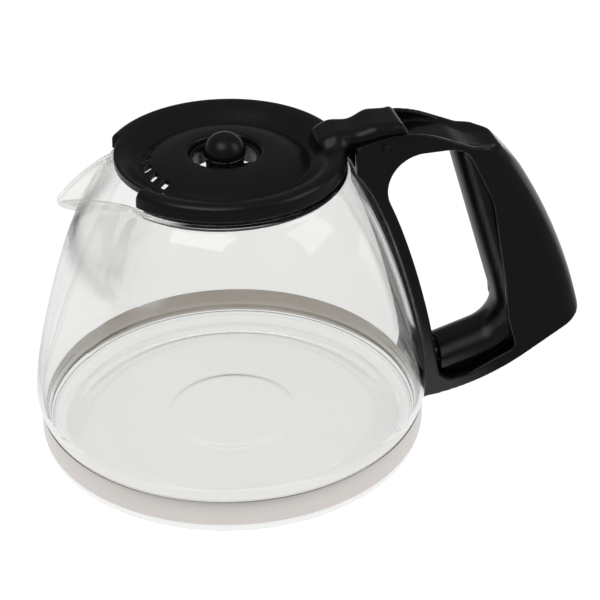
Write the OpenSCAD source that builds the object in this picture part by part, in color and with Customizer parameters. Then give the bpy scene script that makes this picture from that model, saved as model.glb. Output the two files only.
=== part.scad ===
// Coffee server carafe: a blown glass jug in a steel base band, with a
// clamped handle and a lid that swings on a pin between the handle's cheeks.
// Millimetres. The origin is on the jug's axis, on the surface that it stands
// on. The handle points along +X and the spout along -X.

/* [Jug] */
// Outer radius of the jug at its widest
belly_r = 74.1; // [68:0.1:82]
// Height of the widest place above the table
belly_z = 20; // [17:0.5:26]
// Outer radius of the mouth
mouth_r = 44; // [40:0.5:50]
// Height of the rim's top
rim_z = 109; // [98:0.5:125]
// Thickness of the glass wall
glass_wall = 2.3; // [1.6:0.1:3.2]
// Thickness of the glass floor
glass_floor = 4.2; // [3:0.1:6]
// Radius of the flat that stands on the table
foot_r = 68.5; // [62:0.5:70]

/* [Spout] */
// Distance from the jug's axis to the tip of the spout
spout_reach = 61; // [54:0.5:68]
// Outer radius of the rounded tip
spout_tip_r = 4.6; // [3.6:0.1:6]
// Half of the angle that the spout opens in the rim
spout_half_angle = 31; // [24:1:38]
// How far the tip hangs below the rim
spout_drop = 2.6; // [1:0.1:5]
// Depth of the spout's channel at its tip
spout_depth = 5.4; // [4:0.1:7]

/* [Band] */
// Height of the steel band
band_h = 10; // [7:0.5:13]
// Thickness of the steel band
band_t = 0.5; // [0.3:0.1:1]
// Height of the band's lower edge above the table
band_z = 3.5; // [2.5:0.1:5]

/* [Lid] */
// Outer radius of the lid
lid_r = 43.8; // [40:0.1:48]
// Height of the lid's raised edge
lid_edge_h = 6.2; // [4.5:0.1:8]
// Wall thickness of the lid
lid_wall = 2; // [1.4:0.1:2.6]
// How far the dish sinks below the raised edge
dish_depth = 5.3; // [3:0.1:6]
// Radius of the valley between the dish and the dome
valley_r = 30.5; // [27:0.5:33]
// Height of the dome above the valley
dome_h = 4.9; // [3:0.1:7]
// Radius of the hole in the dome
lid_hole_r = 12.9; // [11:0.1:15]
// Height of the skirt that hangs in the mouth
skirt_h = 5; // [4:0.1:8]
// Radial size of a vent slot
slot_radial = 2.6; // [1.5:0.1:4]
// Width of a vent slot along its circle
slot_width = 3.2; // [2:0.1:5]
// Number of vent slots
slot_count = 5; // [1:1:5]

/* [Brew Knob] */
// Radius of the domed head
knob_r = 7.6; // [6:0.1:8.5]
// Height of the head's centre above the lid's lower edge
knob_rise = 4.9; // [3:0.1:7]
// Width of one spoke
spoke_w = 1.8; // [1.2:0.1:3]

/* [Hinge] */
// Distance from the lid's edge to the hinge pin's axis
hinge_setback = 13.1; // [12.6:0.1:15]
// Height of the pin's axis above the rim
hinge_rise = 4.6; // [3.5:0.1:6]
// Radius of the hinge pin
pin_r = 1.9; // [1.5:0.05:2.4]
// Radius of the lever's drum round the pin
drum_r = 9.7; // [8.5:0.1:10]
// Half width of the lever's drum
drum_half_w = 9.4; // [8:0.1:9.5]
// Height of the lever's tongue above the lid's edge
tongue_rise = 4; // [2.5:0.1:5]

/* [Handle] */
// Width of the handle across its flat cheeks
handle_w = 24.8; // [22:0.2:30]
// Thickness of one cheek
cheek_t = 2.5; // [2:0.1:3.2]
// How far the grip stands out past the band
grip_reach = 66; // [58:0.5:76]
// Radius of the curve of the grip's back
back_r = 227; // [170:1:300]
// Radius that rounds the back's long edges
edge_r = 8; // [5:0.5:10]
// Thickness of the spine along the glass
spine_t = 3.4; // [3:0.1:4.5]
// How far the liner bulges into the finger opening
liner_bulge = 5; // [3:0.1:6]

/* [Clamp] */
// Radius of the clamp screw's shank
screw_r = 1.75; // [1.5:0.05:2.2]
// Radius of the clamp screw's head
screw_head_r = 3.4; // [3:0.1:3.8]
// Radius of the tunnel's tube in the lower arm
tube_r = 4.5; // [4:0.1:5]
// Upward slope of the lower arm's screw tunnel
tube_tilt = 20; // [16:1:23]

/* [Hidden] */

$fn = 96;
// Overrun of cuts past the faces that they open
over = 1;
// Gap between the jug and what is clamped round it
glass_gap = 0.3;
// Gap between the lid and what it swings past
swing_gap = 0.35;
// Running gap of the pin in the lid's drum, and its gap in the cheeks
pin_run = 0.05;
pin_seat = 0.02;
// Gap round pieces that are let into the handle
fit_gap = 0.15;
// Steps along a curved stretch of an outline
curve_n = 14;
corner_n = 7;

// Places that several pieces share
rim_bead_r = glass_wall / 2;
lid_z = rim_z + glass_gap;
lid_top = lid_z + lid_edge_h;
hinge_x = lid_r + hinge_setback;
hinge_z = rim_z + hinge_rise;
band_seat_r = belly_r - 3.5 * band_t;
band_r = band_seat_r + band_t;
band_top = band_z + band_h;
foot_x = band_r + glass_gap;
half_w = handle_w / 2;
inner_half_w = half_w - cheek_t;
well_r = drum_r + swing_gap;

// Points of an arc from angle a to angle b
function arc(c, r, a, b, n = corner_n) =
    [for (i = [0:n]) c + r * [cos(a + (b - a) * i / n), sin(a + (b - a) * i / n)]];
// Point and slope of a cubic curve at share t
function cubic(p, t) = pow(1 - t, 3) * p[0] + 3 * pow(1 - t, 2) * t * p[1]
    + 3 * (1 - t) * pow(t, 2) * p[2] + pow(t, 3) * p[3];
function cubic_slope(p, t) = 3 * pow(1 - t, 2) * (p[1] - p[0]) + 6 * (1 - t) * t * (p[2] - p[1])
    + 3 * pow(t, 2) * (p[3] - p[2]);
// Unit vector a quarter turn to the right of v
function right_of(v) = [v[1], -v[0]] / norm(v);
// Cubic curve moved sideways by d, to the right of its travel
function moved(p, d, t0, t1, n = curve_n) = [
    for (i = [0:n]) let (t = t0 + (t1 - t0) * i / n) cubic(p, t) + d * right_of(cubic_slope(p, t))
];
// Polygon with every corner [x, y, radius] rounded by its own arc
function corner(a, b, c) = let (
        u = ([a[0], a[1]] - [b[0], b[1]]) / norm([a[0], a[1]] - [b[0], b[1]]),
        v = ([c[0], c[1]] - [b[0], b[1]]) / norm([c[0], c[1]] - [b[0], b[1]]),
        half = acos(min(1, max(-1, u * v))) / 2,
        m = [b[0], b[1]] + (u + v) / norm(u + v) * b[2] / sin(half),
        s = sign(u[0] * v[1] - u[1] * v[0]),
        start = atan2(-u[0] * s, u[1] * s)
    ) [for (i = [0:corner_n]) m + b[2] * (
        let (a0 = start - s * (180 - 2 * half) * i / corner_n) [sin(a0 + 90), -cos(a0 + 90)])];
function rounded(p) = [
    for (i = [0:len(p) - 1])
        each (p[i][2] > 0 ? corner(p[(i + len(p) - 1) % len(p)], p[i], p[(i + 1) % len(p)])
            : [[p[i][0], p[i][1]]])
];

// Jug: outlines as [radius, height]
// The side is a cubic curve from the belly up to the neck
neck_bend_r = 3;
neck_x = mouth_r + 0.36 * neck_bend_r;
neck_z = rim_z - rim_bead_r - 0.77 * neck_bend_r;
side_h = neck_z - belly_z;
side_w = belly_r - neck_x;
jug_side = [
    [belly_r, belly_z],
    [belly_r, belly_z + 0.12 * side_h],
    [neck_x + 0.49 * side_w, neck_z - 0.14 * side_h],
    [neck_x, neck_z]
];
neck_turn = atan2(jug_side[3][1] - jug_side[2][1], jug_side[3][0] - jug_side[2][0]);
neck_centre = jug_side[3] + neck_bend_r * right_of(jug_side[3] - jug_side[2]);

// Radius that turns the side into the band's groove
belly_bend_r = 6 * glass_wall;
foot_bead_r = 0.48 * band_z;
foot_bead_out = 0.34 * band_z;
base_ring_share = [0.365, 0.4, 0.59, 0.612, 0.8, 0.83];
base_groove = 0.12 * glass_floor;

module glass_outer(grow = 0) {
    polygon(concat(
        [[0, 0], [foot_r, 0]],
        arc([band_seat_r + foot_bead_out - foot_bead_r + grow, foot_bead_r], foot_bead_r, -70, 50),
        [[band_seat_r + grow, band_z - 0.1 * foot_bead_r], [band_seat_r + grow, band_top + glass_gap]],
        arc([belly_r - belly_bend_r + grow, belly_z], belly_bend_r, -25, 0),
        moved(jug_side, grow, 0, 1),
        arc(neck_centre, neck_bend_r - grow, neck_turn + 90, 180),
        [[mouth_r + grow, rim_z - rim_bead_r]],
        arc([mouth_r - rim_bead_r, rim_z - rim_bead_r], rim_bead_r + grow, 0, 90),
        [[0, rim_z + grow]]
    ));
}

// The hollow of the jug, open through the mouth
module glass_inner() {
    floor_bend_r = 4 * glass_wall;
    wall_r = band_seat_r - glass_wall;
    polygon(concat(
        [[0, glass_floor]],
        arc([wall_r - floor_bend_r, glass_floor + floor_bend_r], floor_bend_r, -90, 0),
        moved(jug_side, -glass_wall, 0, 1),
        arc(neck_centre, neck_bend_r + glass_wall, neck_turn + 90, 180),
        arc([mouth_r - rim_bead_r, rim_z - rim_bead_r], rim_bead_r, 180, 100),
        [[mouth_r - rim_bead_r, rim_z + over], [0, rim_z + over]]
    ));
}

// Beak between the rim and the tip, grown inward or outward by d
module beak(d) {
    tip_x = spout_reach - spout_tip_r;
    root = mouth_r - rim_bead_r;
    low = rim_z - spout_drop - spout_depth;
    hull() {
        translate([-tip_x, 0, low + spout_tip_r])
            sphere(r = spout_tip_r + d, $fn = 28);
        translate([-tip_x, 0, low + spout_tip_r])
            cylinder(r = spout_tip_r + d, h = spout_depth + spout_drop, $fn = 28);
        for (side = [-1, 1])
            rotate([0, 0, 180 + side * spout_half_angle])
                translate([root - spout_tip_r, 0, low - spout_depth])
                    cylinder(r = spout_tip_r + d, h = rim_z - low + spout_depth, $fn = 28);
        translate([-root, 0, low - 1.6 * spout_depth])
            cylinder(r = spout_tip_r + d, h = spout_depth, $fn = 28);
    }
}

module glass_jug() {
    lip_slope = atan2(spout_drop, spout_reach - mouth_r);
    color([0.85, 0.92, 0.92, 0.35])
        difference() {
            union() {
                rotate_extrude() glass_outer();
                difference() {
                    beak(0);
                    translate([-mouth_r, 0, rim_z])
                        rotate([0, -lip_slope, 0])
                            translate([-2 * spout_reach, -spout_reach, 0])
                                cube([2 * spout_reach + spout_depth, 2 * spout_reach, spout_reach]);
                    translate([-mouth_r, -spout_reach, rim_z - over / 5])
                        cube([mouth_r, 2 * spout_reach, spout_reach]);
                }
            }
            rotate_extrude() glass_inner();
            beak(-glass_wall);
            for (i = [0:2:len(base_ring_share) - 1])
                translate([0, 0, -over])
                    difference() {
                        cylinder(r = base_ring_share[i + 1] * foot_r, h = over + base_groove);
                        cylinder(r = base_ring_share[i] * foot_r, h = over + base_groove);
                    }
        }
}

// Steel band round the foot of the jug, with its bracket inside the handle
module steel_band() {
    color("lightgray")
        translate([0, 0, band_z])
            difference() {
                cylinder(r = band_r, h = band_h);
                translate([0, 0, -over])
                    cylinder(r = band_r - band_t + glass_gap / 6, h = band_h + 2 * over);
            }
}

// Screw tunnel: its axis starts at the nut and climbs outward along the arm
nut_t = 2;
nut_side = 3.4 * screw_r;
nut_x = foot_x + 0.32 * nut_side;
nut_z = band_z + 0.85 * band_h;
seat_d = 0.6 * grip_reach;
washer_t = 0.8;
washer_r = screw_head_r + 0.4;
head_h = 0.6 * screw_head_r;
bracket_t = 1;
bracket_half_w = nut_side / 2 + fit_gap + bracket_t;
bracket_l = 0.9 * nut_side - fit_gap;
bracket_h = 1.25 * nut_side;

module along_screw(d) {
    translate([nut_x, 0, nut_z])
        rotate([0, 90 - tube_tilt, 0])
            translate([0, 0, d])
                children();
}

module band_bracket() {
    color("silver")
        difference() {
            translate([band_r - bracket_t, -bracket_half_w, nut_z - bracket_h / 2])
                cube([bracket_l + bracket_t, 2 * bracket_half_w, bracket_h]);
            cylinder(r = band_r + glass_gap / 6, h = 3 * band_h, $fn = 4 * $fn);
            rotate_extrude($fn = 4 * $fn) glass_outer(glass_gap);
            translate([band_r + bracket_t, -nut_side / 2 - fit_gap, nut_z - bracket_h])
                cube([2 * bracket_l, nut_side + 2 * fit_gap, 2 * bracket_h]);
        }
}

module clamp_nut() {
    color("gray")
        along_screw(0)
            difference() {
                translate([-nut_side / 2, -nut_side / 2, 0])
                    cube([nut_side, nut_side, nut_t]);
                translate([0, 0, -over])
                    cylinder(r = screw_r + pin_seat, h = nut_t + 2 * over);
            }
}

module clamp_screw() {
    color("silver")
        difference() {
            union() {
                along_screw(0)
                    cylinder(r = screw_r, h = seat_d + washer_t + over);
                along_screw(seat_d + washer_t)
                    cylinder(r = screw_head_r, h = head_h);
            }
            for (turn = [0, 90])
                along_screw(seat_d + washer_t + 0.45 * head_h)
                    rotate([0, 0, turn])
                        translate([-0.55 * screw_head_r, -0.15 * screw_head_r, 0])
                            cube([1.1 * screw_head_r, 0.3 * screw_head_r, head_h]);
        }
}

module screw_washer() {
    color("lightgray")
        along_screw(seat_d)
            difference() {
                cylinder(r = washer_r, h = washer_t);
                translate([0, 0, -over])
                    cylinder(r = screw_r + fit_gap, h = washer_t + 2 * over);
            }
}

// Handle: side outlines as shares [out, up], from the foot towards the grip
// Point at share a of the reach, on the leaning line from foot to hinge
function at(a, b) = [foot_x + (hinge_x - foot_x) * b + a * grip_reach, b * hinge_z];
function at_r(s) = concat(at(s[0], s[1]), [s[2] * edge_r]);

// Ends of the back's arc, and the arc's centre
back_top = at(0.69, 0.95);
back_low = at(1.062, 0.25);
back_mid = (back_top + back_low) / 2;
back_chord = back_low - back_top;
back_centre = back_mid + right_of(back_chord) * sqrt(pow(back_r, 2) - pow(norm(back_chord) / 2, 2));

// Outlines as rows of [share out, share up, rounding as a share of edge_r].
// Outside of the cheeks, clockwise from the corner beside the lid. The fifth
// to seventh rows lie past the back's arc, which cuts them off.
cheek_rows = [
    [-0.173, 1.01, 0.12], [0.154, 1.054, 5.1], [0.506, 0.958, 1], [0.66, 0.947, 0.62],
    [0.899, 0.768, 0], [0.987, 0.614, 0], [1.058, 0.274, 0.5], [0.374, 0.046, 11], [-0.195, 0.017, 0],
    [-0.191, 0.915, 0]
];
// Finger opening and the pocket below it, from the top of the spine round
opening_rows = [
    [-0.106, 0.964, 1.69], [0.392, 0.962, 1.6], [0.585, 0.55, 7.5], [0.576, 0.317, 0.75],
    [0.598, 0.246, 0.5], [0.621, 0.173, 0.3], [0.309, 0.096, 2.2], [0.179, 0.085, 0.38],
    [0.128, 0.113, 0.25]
];
// Hollow between the cheeks, clockwise from the foot's corner
hollow_rows = [
    [0.127, 0.528, 0], [0.368, 0.951, 0.5], [0.919, 0.849, 0], [1.45, 0.528, 0],
    [1.01, 0.276, 0.38], [0.38, 0.07, 5.6], [0.127, 0.076, 0.19]
];
// Floor of the fork: the bed of the lever, the thumb's dip and its lip
fork_rows = [
    [-0.42, 0.9, 0], [0.1, 0.985, 0], [0.25, 0.989, 1], [0.4, 0.974, 2.5], [0.557, 0.937, 1.4],
    [0.614, 0.933, 0.45], [0.71, 0.986, 0], [0.548, 1.19, 0], [-0.36, 1.19, 0]
];
// Rib that carries the screw's tube
rib_rows = [[0.09, 0.07, 0], [0.657, 0.154, 0], [0.671, 0.211, 0], [0.097, 0.097, 0]];
// The liner's crest: top, corner and low end
crest_rows = [[0.39, 0.8935, 0], [0.59, 0.264, 0], [0.154, 0.196, 0]];
crest = [for (row = crest_rows) at(row[0], row[1])];
crest_bend_r = 2 * liner_bulge;

module side_cut(half) {
    rotate([90, 0, 0])
        translate([0, 0, -half])
            linear_extrude(height = 2 * half)
                children();
}

module outline(rows) {
    polygon(rounded([for (row = rows) at_r(row)]));
}

// The opening's edge along the spine keeps the spine's thickness
spine_line = moved(jug_side, glass_gap + spine_t, 0.2, 0.74, 10);

module opening() {
    polygon(concat(
        spine_line,
        rounded(concat([concat(spine_line[10], [0])], [for (row = opening_rows) at_r(row)]))
    ));
}

// Block whose outer face is the curved back, set in by d all round
module back_block(d) {
    half = half_w - d;
    bend = edge_r - d;
    translate([back_centre[0], 0, back_centre[1]])
        rotate([90, 0, 0])
            rotate_extrude($fn = 180)
                polygon(rounded([
                    [back_r / 3, -half, 0], [back_r - d, -half, bend],
                    [back_r - d, half, bend], [back_r / 3, half, 0]
                ]));
}

module handle_shell() {
    pocket_h = bracket_h + 2 * fit_gap;
    color([0.11, 0.11, 0.11])
        difference() {
            union() {
                difference() {
                    intersection() {
                        side_cut(half_w) outline(cheek_rows);
                        back_block(0);
                    }
                    side_cut(half_w + over) opening();
                    intersection() {
                        side_cut(inner_half_w) outline(hollow_rows);
                        back_block(cheek_t);
                    }
                }
                along_screw(nut_side)
                    cylinder(r = tube_r, h = seat_d - nut_side);
                side_cut(cheek_t / 2) outline(rib_rows);
            }
            // Fork for the lever, with a round well under the pin
            side_cut(inner_half_w) outline(fork_rows);
            translate([hinge_x, 0, hinge_z])
                rotate([90, 0, 0])
                    cylinder(r = well_r, h = 2 * inner_half_w, center = true);
            translate([hinge_x, 0, hinge_z])
                rotate([90, 0, 0])
                    cylinder(r = pin_r + pin_seat, h = handle_w + 2 * over, center = true);
            // The jug, its band, the bracket, the screw and the head's way in
            rotate_extrude() glass_outer(glass_gap);
            cylinder(r = band_r + glass_gap, h = band_top + glass_gap);
            translate([0, -bracket_half_w - fit_gap, nut_z - pocket_h / 2])
                cube([band_r + bracket_l + fit_gap, 2 * (bracket_half_w + fit_gap), pocket_h]);
            along_screw(0)
                cylinder(r = screw_r + fit_gap, h = seat_d + over);
            along_screw(seat_d)
                cylinder(r = washer_r + fit_gap, h = grip_reach);
        }
}

// Rounded bar that closes the grip on the fingers' side: an open channel
liner_half_w = inner_half_w - fit_gap;
liner_t = 0.36 * liner_bulge;
liner_crown_r = (pow(liner_half_w, 2) + pow(liner_bulge, 2)) / (2 * liner_bulge);

// Its section as [depth under the crest, across]
function liner_section() = let (
        a = asin(liner_half_w / liner_crown_r),
        b = asin((liner_half_w - liner_t) / (liner_crown_r - liner_t)),
        foot = liner_bulge + liner_t
    ) concat(
        arc([liner_crown_r, 0], liner_crown_r, 180 + a, 180 - a, 2 * corner_n),
        [[foot, liner_half_w], [foot, liner_half_w - liner_t]],
        arc([liner_crown_r, 0], liner_crown_r - liner_t, 180 - b, 180 + b, 2 * corner_n),
        [[foot, liner_t - liner_half_w], [foot, -liner_half_w]]
    );

// Straight run from the bend towards one end of the crest
module liner_run(end, start, side) {
    way = (end - crest[1]) / norm(end - crest[1]);
    from = crest[1] + start * way;
    translate([from[0], 0, from[1]])
        rotate([0, atan2(way[0], way[1]), 0])
            linear_extrude(height = norm(end - from))
                mirror([side, 0])
                    polygon(liner_section());
}

module handle_liner() {
    up = (crest[0] - crest[1]) / norm(crest[0] - crest[1]);
    low = (crest[2] - crest[1]) / norm(crest[2] - crest[1]);
    half = acos(up * low) / 2;
    bend = crest[1] + (up + low) / norm(up + low) * crest_bend_r / sin(half);
    low_turn = atan2(low[0], -low[1]);
    lap = liner_t / 20;
    color([0.07, 0.07, 0.07])
        difference() {
            union() {
                liner_run(crest[0], crest_bend_r / tan(half) - lap, 0);
                liner_run(crest[2], crest_bend_r / tan(half) - lap, 1);
                translate([bend[0], 0, bend[1]])
                    rotate([90, 0, 0])
                        rotate([0, 0, low_turn])
                            rotate_extrude(angle = 180 - 2 * half)
                                polygon([for (p = liner_section()) [crest_bend_r + p[0], p[1]]]);
            }
            along_screw(-over)
                cylinder(r = tube_r + fit_gap, h = 2 * seat_d);
        }
}

module hinge_pin() {
    dimple_r = 0.6 * pin_r;
    color("silver")
        translate([hinge_x, 0, hinge_z])
            rotate([90, 0, 0])
                difference() {
                    cylinder(r = pin_r, h = handle_w, center = true);
                    for (side = [-1, 1])
                        translate([0, 0, side * handle_w / 2])
                            cylinder(r = dimple_r, h = pin_r / 2, center = true);
                }
}

// Lid: the shape of its upper face, as heights over a radius
dish_z = lid_top - dish_depth;
crest_r = lid_r - 0.5 * lid_wall - 2;
lip_r = 0.8 * lid_wall;
dome_edge_r = lid_hole_r + lip_r;
function dish_h(r) = dish_z + dish_depth * pow(sin(90 * (r - valley_r) / (crest_r - valley_r)), 1.35);
function dome_z(r) = dish_z + dome_h * (1 - pow((r - dome_edge_r) / (valley_r - dome_edge_r), 2.3));
lid_face = concat(
    arc([lid_hole_r + lip_r, dish_z + dome_h - lip_r], lip_r, 180, 90),
    [for (i = [1:9]) let (r = dome_edge_r + (valley_r - dome_edge_r) * i / 10) [r, dome_z(r)]],
    [[valley_r - 0.3 * lid_wall, dish_z + 0.06 * dish_depth], [valley_r + 0.5 * lid_wall, dish_z]],
    [for (i = [2:9]) let (r = valley_r + (crest_r - valley_r) * i / 10) [r, dish_h(r)]]
);
collar_h = 1.7 * dome_h;
skirt_r = mouth_r - glass_wall - 4 * glass_gap;

module lid_section() {
    n = len(lid_face);
    polygon(concat(
        lid_face,
        arc([crest_r, lid_top - lid_wall], lid_wall, 90, 15),
        [[lid_r, lid_z + 0.3 * lid_edge_h], [lid_r, lid_z], [lid_r - lid_wall, lid_z]],
        [[skirt_r, lid_z], [skirt_r, lid_z - skirt_h], [skirt_r - 0.9 * lid_wall, lid_z - skirt_h],
            [skirt_r - 0.9 * lid_wall, lid_z + 0.1 * lid_edge_h]],
        [for (i = [n - 3:-1:n / 2 - 4]) if (lid_face[i][0] < skirt_r - 1.6 * lid_wall
            && lid_face[i][0] > dome_edge_r + lid_wall) lid_face[i] - [0, lid_wall]],
        [[dome_edge_r, dish_z + dome_h - 1.5 * lid_wall],
            [dome_edge_r, dish_z + dome_h - collar_h], [lid_hole_r, dish_z + dome_h - collar_h]]
    ));
}

// Lever, from its tongue on the lid back to the drum
tongue_front = 0.725 * lid_r;
lever_span = hinge_x - tongue_front;
// Top line as rows of [share of the span, share of the tongue's rise over the
// lid's edge, rounding as a share of drum_r]
lever_rows = [
    [0, -1.25, 0], [0, 0.275, 0.25], [0.36, 0.95, 0.82], [0.654, 0.7, 0.93],
    [0.893, 1.45, 0.62], [1.29, 1.3, 0.33]
];
// Plan as rows of [share of the span, share of the drum's half width, rounding]
plan_rows = [
    [0, 0.83, 0.5], [0.27, 0.91, 1], [0.567, 0.68, 0.93], [0.845, 1, 0.93], [1.4, 1, 0.5]
];

module lever() {
    top = [for (row = lever_rows)
        [tongue_front + row[0] * lever_span, lid_top + row[1] * tongue_rise, row[2] * drum_r]];
    drum = [for (p = arc([hinge_x, hinge_z], drum_r, 30, -155, 2 * curve_n)) concat(p, [0])];
    near = [for (row = plan_rows)
        [tongue_front + row[0] * lever_span, row[1] * drum_half_w, row[2] * drum_r]];
    far = [for (i = [len(near) - 1:-1:0]) [near[i][0], -near[i][1], near[i][2]]];
    crown_z = lid_top + 1.45 * tongue_rise;
    intersection() {
        side_cut(drum_half_w)
            polygon(rounded(concat(top, drum, [[hinge_x - drum_r, lid_z, 0]])));
        linear_extrude(height = 2 * rim_z)
            polygon(rounded(concat(near, far)));
        // Crown across the lever's width
        rotate([90, 0, 90])
            linear_extrude(height = 2 * lid_r)
                polygon(rounded([
                    [-drum_half_w, 0, 0], [-drum_half_w, crown_z, 0.3 * drum_r],
                    [drum_half_w, crown_z, 0.3 * drum_r], [drum_half_w, 0, 0]
                ]));
    }
}

module lid() {
    notch_r = lid_r - 0.52 * lid_edge_h - lid_wall / 2;
    slot_r = valley_r - slot_radial;
    slot_step = 14.3;
    color([0.12, 0.12, 0.12])
        difference() {
            union() {
                rotate_extrude() lid_section();
                lever();
            }
            // Notch over the spout, in the rim and in the skirt
            difference() {
                translate([0, 0, lid_z - skirt_h - over])
                    rotate([0, 0, 180 - spout_half_angle])
                        rotate_extrude(angle = 2 * spout_half_angle)
                            translate([notch_r, 0])
                                square([lid_r, skirt_h + lid_edge_h + 3 * over]);
            }
            translate([0, 0, lid_z - skirt_h - over])
                rotate([0, 0, 180 - spout_half_angle])
                    rotate_extrude(angle = 2 * spout_half_angle)
                        translate([skirt_r - 3 * lid_wall, 0])
                            square([lid_r, skirt_h + over]);
            for (i = [0:slot_count - 1])
                rotate([0, 0, 180 + (i - (slot_count - 1) / 2) * slot_step])
                    translate([slot_r - slot_radial / 2, -slot_width / 2, dish_z - 2 * lid_wall])
                        cube([slot_radial, slot_width, 4 * lid_wall]);
            translate([hinge_x, 0, hinge_z])
                rotate([90, 0, 0])
                    cylinder(r = pin_r + pin_run, h = handle_w + 2 * over, center = true);
        }
}

// Domed knob on a spoked ring that snaps into the lid's collar
module brew_knob() {
    ring_t = 0.6 * lid_wall;
    ring_r = lid_hole_r - pin_run;
    ring_low = dish_z + dome_h - collar_h;
    head_z = lid_z + knob_rise;
    stem_r = 0.9 * knob_r;
    spoke_h = 1.7 * spoke_w;
    color([0.1, 0.1, 0.1]) {
        difference() {
            union() {
                translate([0, 0, ring_low])
                    cylinder(r = ring_r, h = 0.75 * collar_h);
                translate([0, 0, ring_low - ring_t])
                    cylinder(r = dome_edge_r, h = ring_t);
            }
            translate([0, 0, ring_low - 2 * ring_t])
                cylinder(r = ring_r - ring_t, h = 2 * collar_h);
        }
        for (turn = [0:90:270])
            rotate([0, 0, turn])
                translate([stem_r - 2 * ring_t, -spoke_w / 2, ring_low])
                    cube([ring_r - stem_r + ring_t, spoke_w, spoke_h]);
        difference() {
            union() {
                translate([0, 0, ring_low - ring_t])
                    cylinder(r = stem_r, h = head_z - ring_low + ring_t);
                intersection() {
                    translate([0, 0, head_z]) sphere(r = knob_r);
                    translate([0, 0, head_z - 0.1 * knob_r]) cylinder(r = 2 * knob_r, h = 2 * knob_r);
                }
            }
            translate([0, 0, ring_low - 2 * ring_t])
                cylinder(r = stem_r - ring_t, h = head_z - ring_low + ring_t);
        }
    }
}

glass_jug();
steel_band();
band_bracket();
clamp_nut();
clamp_screw();
screw_washer();
handle_shell();
handle_liner();
hinge_pin();
lid();
brew_knob();
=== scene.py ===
"""Looks of a coffee server carafe: clear blown glass with a steel base band,
a black moulded handle and a black hinged lid.

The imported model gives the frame. Each shell below is worked out in millimetres
on the jug's axis, +X towards the handle, and stored in metres.
"""
import math

import bmesh
import bpy
import numpy as np
from mathutils import Matrix, Vector


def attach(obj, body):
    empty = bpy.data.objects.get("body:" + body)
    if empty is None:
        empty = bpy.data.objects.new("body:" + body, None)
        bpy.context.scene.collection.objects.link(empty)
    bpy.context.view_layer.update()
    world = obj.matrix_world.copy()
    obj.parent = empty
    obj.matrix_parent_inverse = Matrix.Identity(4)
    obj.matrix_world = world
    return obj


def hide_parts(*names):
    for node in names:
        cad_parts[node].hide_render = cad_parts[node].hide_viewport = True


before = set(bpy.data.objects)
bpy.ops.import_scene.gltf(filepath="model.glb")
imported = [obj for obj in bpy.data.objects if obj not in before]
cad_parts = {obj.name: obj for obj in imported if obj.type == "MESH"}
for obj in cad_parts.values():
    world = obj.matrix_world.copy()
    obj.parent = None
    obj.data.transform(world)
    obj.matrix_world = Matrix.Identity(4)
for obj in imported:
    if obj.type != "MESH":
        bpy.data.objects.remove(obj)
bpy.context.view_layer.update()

MM = 0.001
scene = bpy.context.scene

# Jug sizes
belly_r, belly_z = 74.1, 20.0
mouth_r, rim_z = 44.0, 109.0
glass_wall, glass_floor = 2.3, 3.9
foot_r = 68.5
spout_reach, spout_tip_r = 61.0, 4.6
spout_half_angle = 31.0
band_h, band_t, band_z = 10.0, 0.5, 3.5
band_seat_r = belly_r - 1.75
band_r = band_seat_r + band_t
glass_gap = 0.3

# Lid sizes
lid_r, lid_edge_h, lid_wall = 43.8, 6.2, 2.0
lid_z = rim_z + glass_gap
lid_top = lid_z + lid_edge_h
dish_depth, valley_r, dome_h = 5.3, 30.5, 4.9
lid_hole_r = 12.9
skirt_h = 5.0
slot_radial, slot_width, slot_count, slot_step = 2.5, 3.0, 5, 14.3
knob_r, knob_rise, spoke_w = 7.6, 4.9, 1.8

# Handle sizes
hinge_x, hinge_z = lid_r + 13.1, rim_z + 4.6
pin_r, drum_r, drum_half_w = 1.9, 9.7, 9.4
handle_w, cheek_t = 24.8, 2.5
half_w, inner_half_w = handle_w / 2, handle_w / 2 - cheek_t
grip_reach, back_r, edge_r = 66.0, 227.0, 8.0
back_edge_r = edge_r + 1.5
spine_t, liner_bulge = 3.4, 5.0
foot_x = band_r + glass_gap
tube_r, tube_tilt = 4.5, 20.0
screw_way_r, washer_r = 1.9, 3.8
thumb_x, thumb_z = 94.0, 88.0
dip_x, dip_l = 79.0, 14.0
lever_soft_x = 67.0


# Mesh building
def piece_from(name, verts, faces, body, node, slot):
    """Smooth mesh object from vertices in millimetres, riding on a body in place of a node."""
    mesh = bpy.data.meshes.new(name)
    mesh.from_pydata((np.asarray(verts) * MM).tolist(), [], np.asarray(faces).tolist())
    mesh.update()
    mesh.polygons.foreach_set("use_smooth", np.ones(len(mesh.polygons), dtype=bool))
    piece = bpy.data.objects.new(name, mesh)
    scene.collection.objects.link(piece)
    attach(piece, body)
    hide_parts(node)
    return piece


def close_up(piece, gap=1e-6):
    """Merges the doubled points of seams and poles, and turns the faces outwards."""
    work = bmesh.new()
    work.from_mesh(piece.data)
    bmesh.ops.remove_doubles(work, verts=work.verts, dist=gap)
    bmesh.ops.dissolve_degenerate(work, edges=work.edges, dist=gap)
    bmesh.ops.recalc_face_normals(work, faces=work.faces)
    work.to_mesh(piece.data)
    work.free()


def grid_faces(rows, cols, close_cols=False, close_rows=False):
    """Quads of a rows x cols grid of points, closed round either way on request."""
    i = np.arange(rows if close_rows else rows - 1)[:, None]
    j = np.arange(cols if close_cols else cols - 1)[None, :]
    i2, j2 = (i + 1) % rows, (j + 1) % cols
    a, b, c, d = i * cols + j, i * cols + j2, i2 * cols + j2, i2 * cols + j
    return np.stack(np.broadcast_arrays(a, b, c, d), -1).reshape(-1, 4)


def arc(centre, radius, a, b, n=12):
    """Points of an arc about a centre from angle a to angle b, in degrees."""
    t = np.radians(np.linspace(a, b, n + 1))
    return np.stack([centre[0] + radius * np.cos(t), centre[1] + radius * np.sin(t)], -1)


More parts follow.
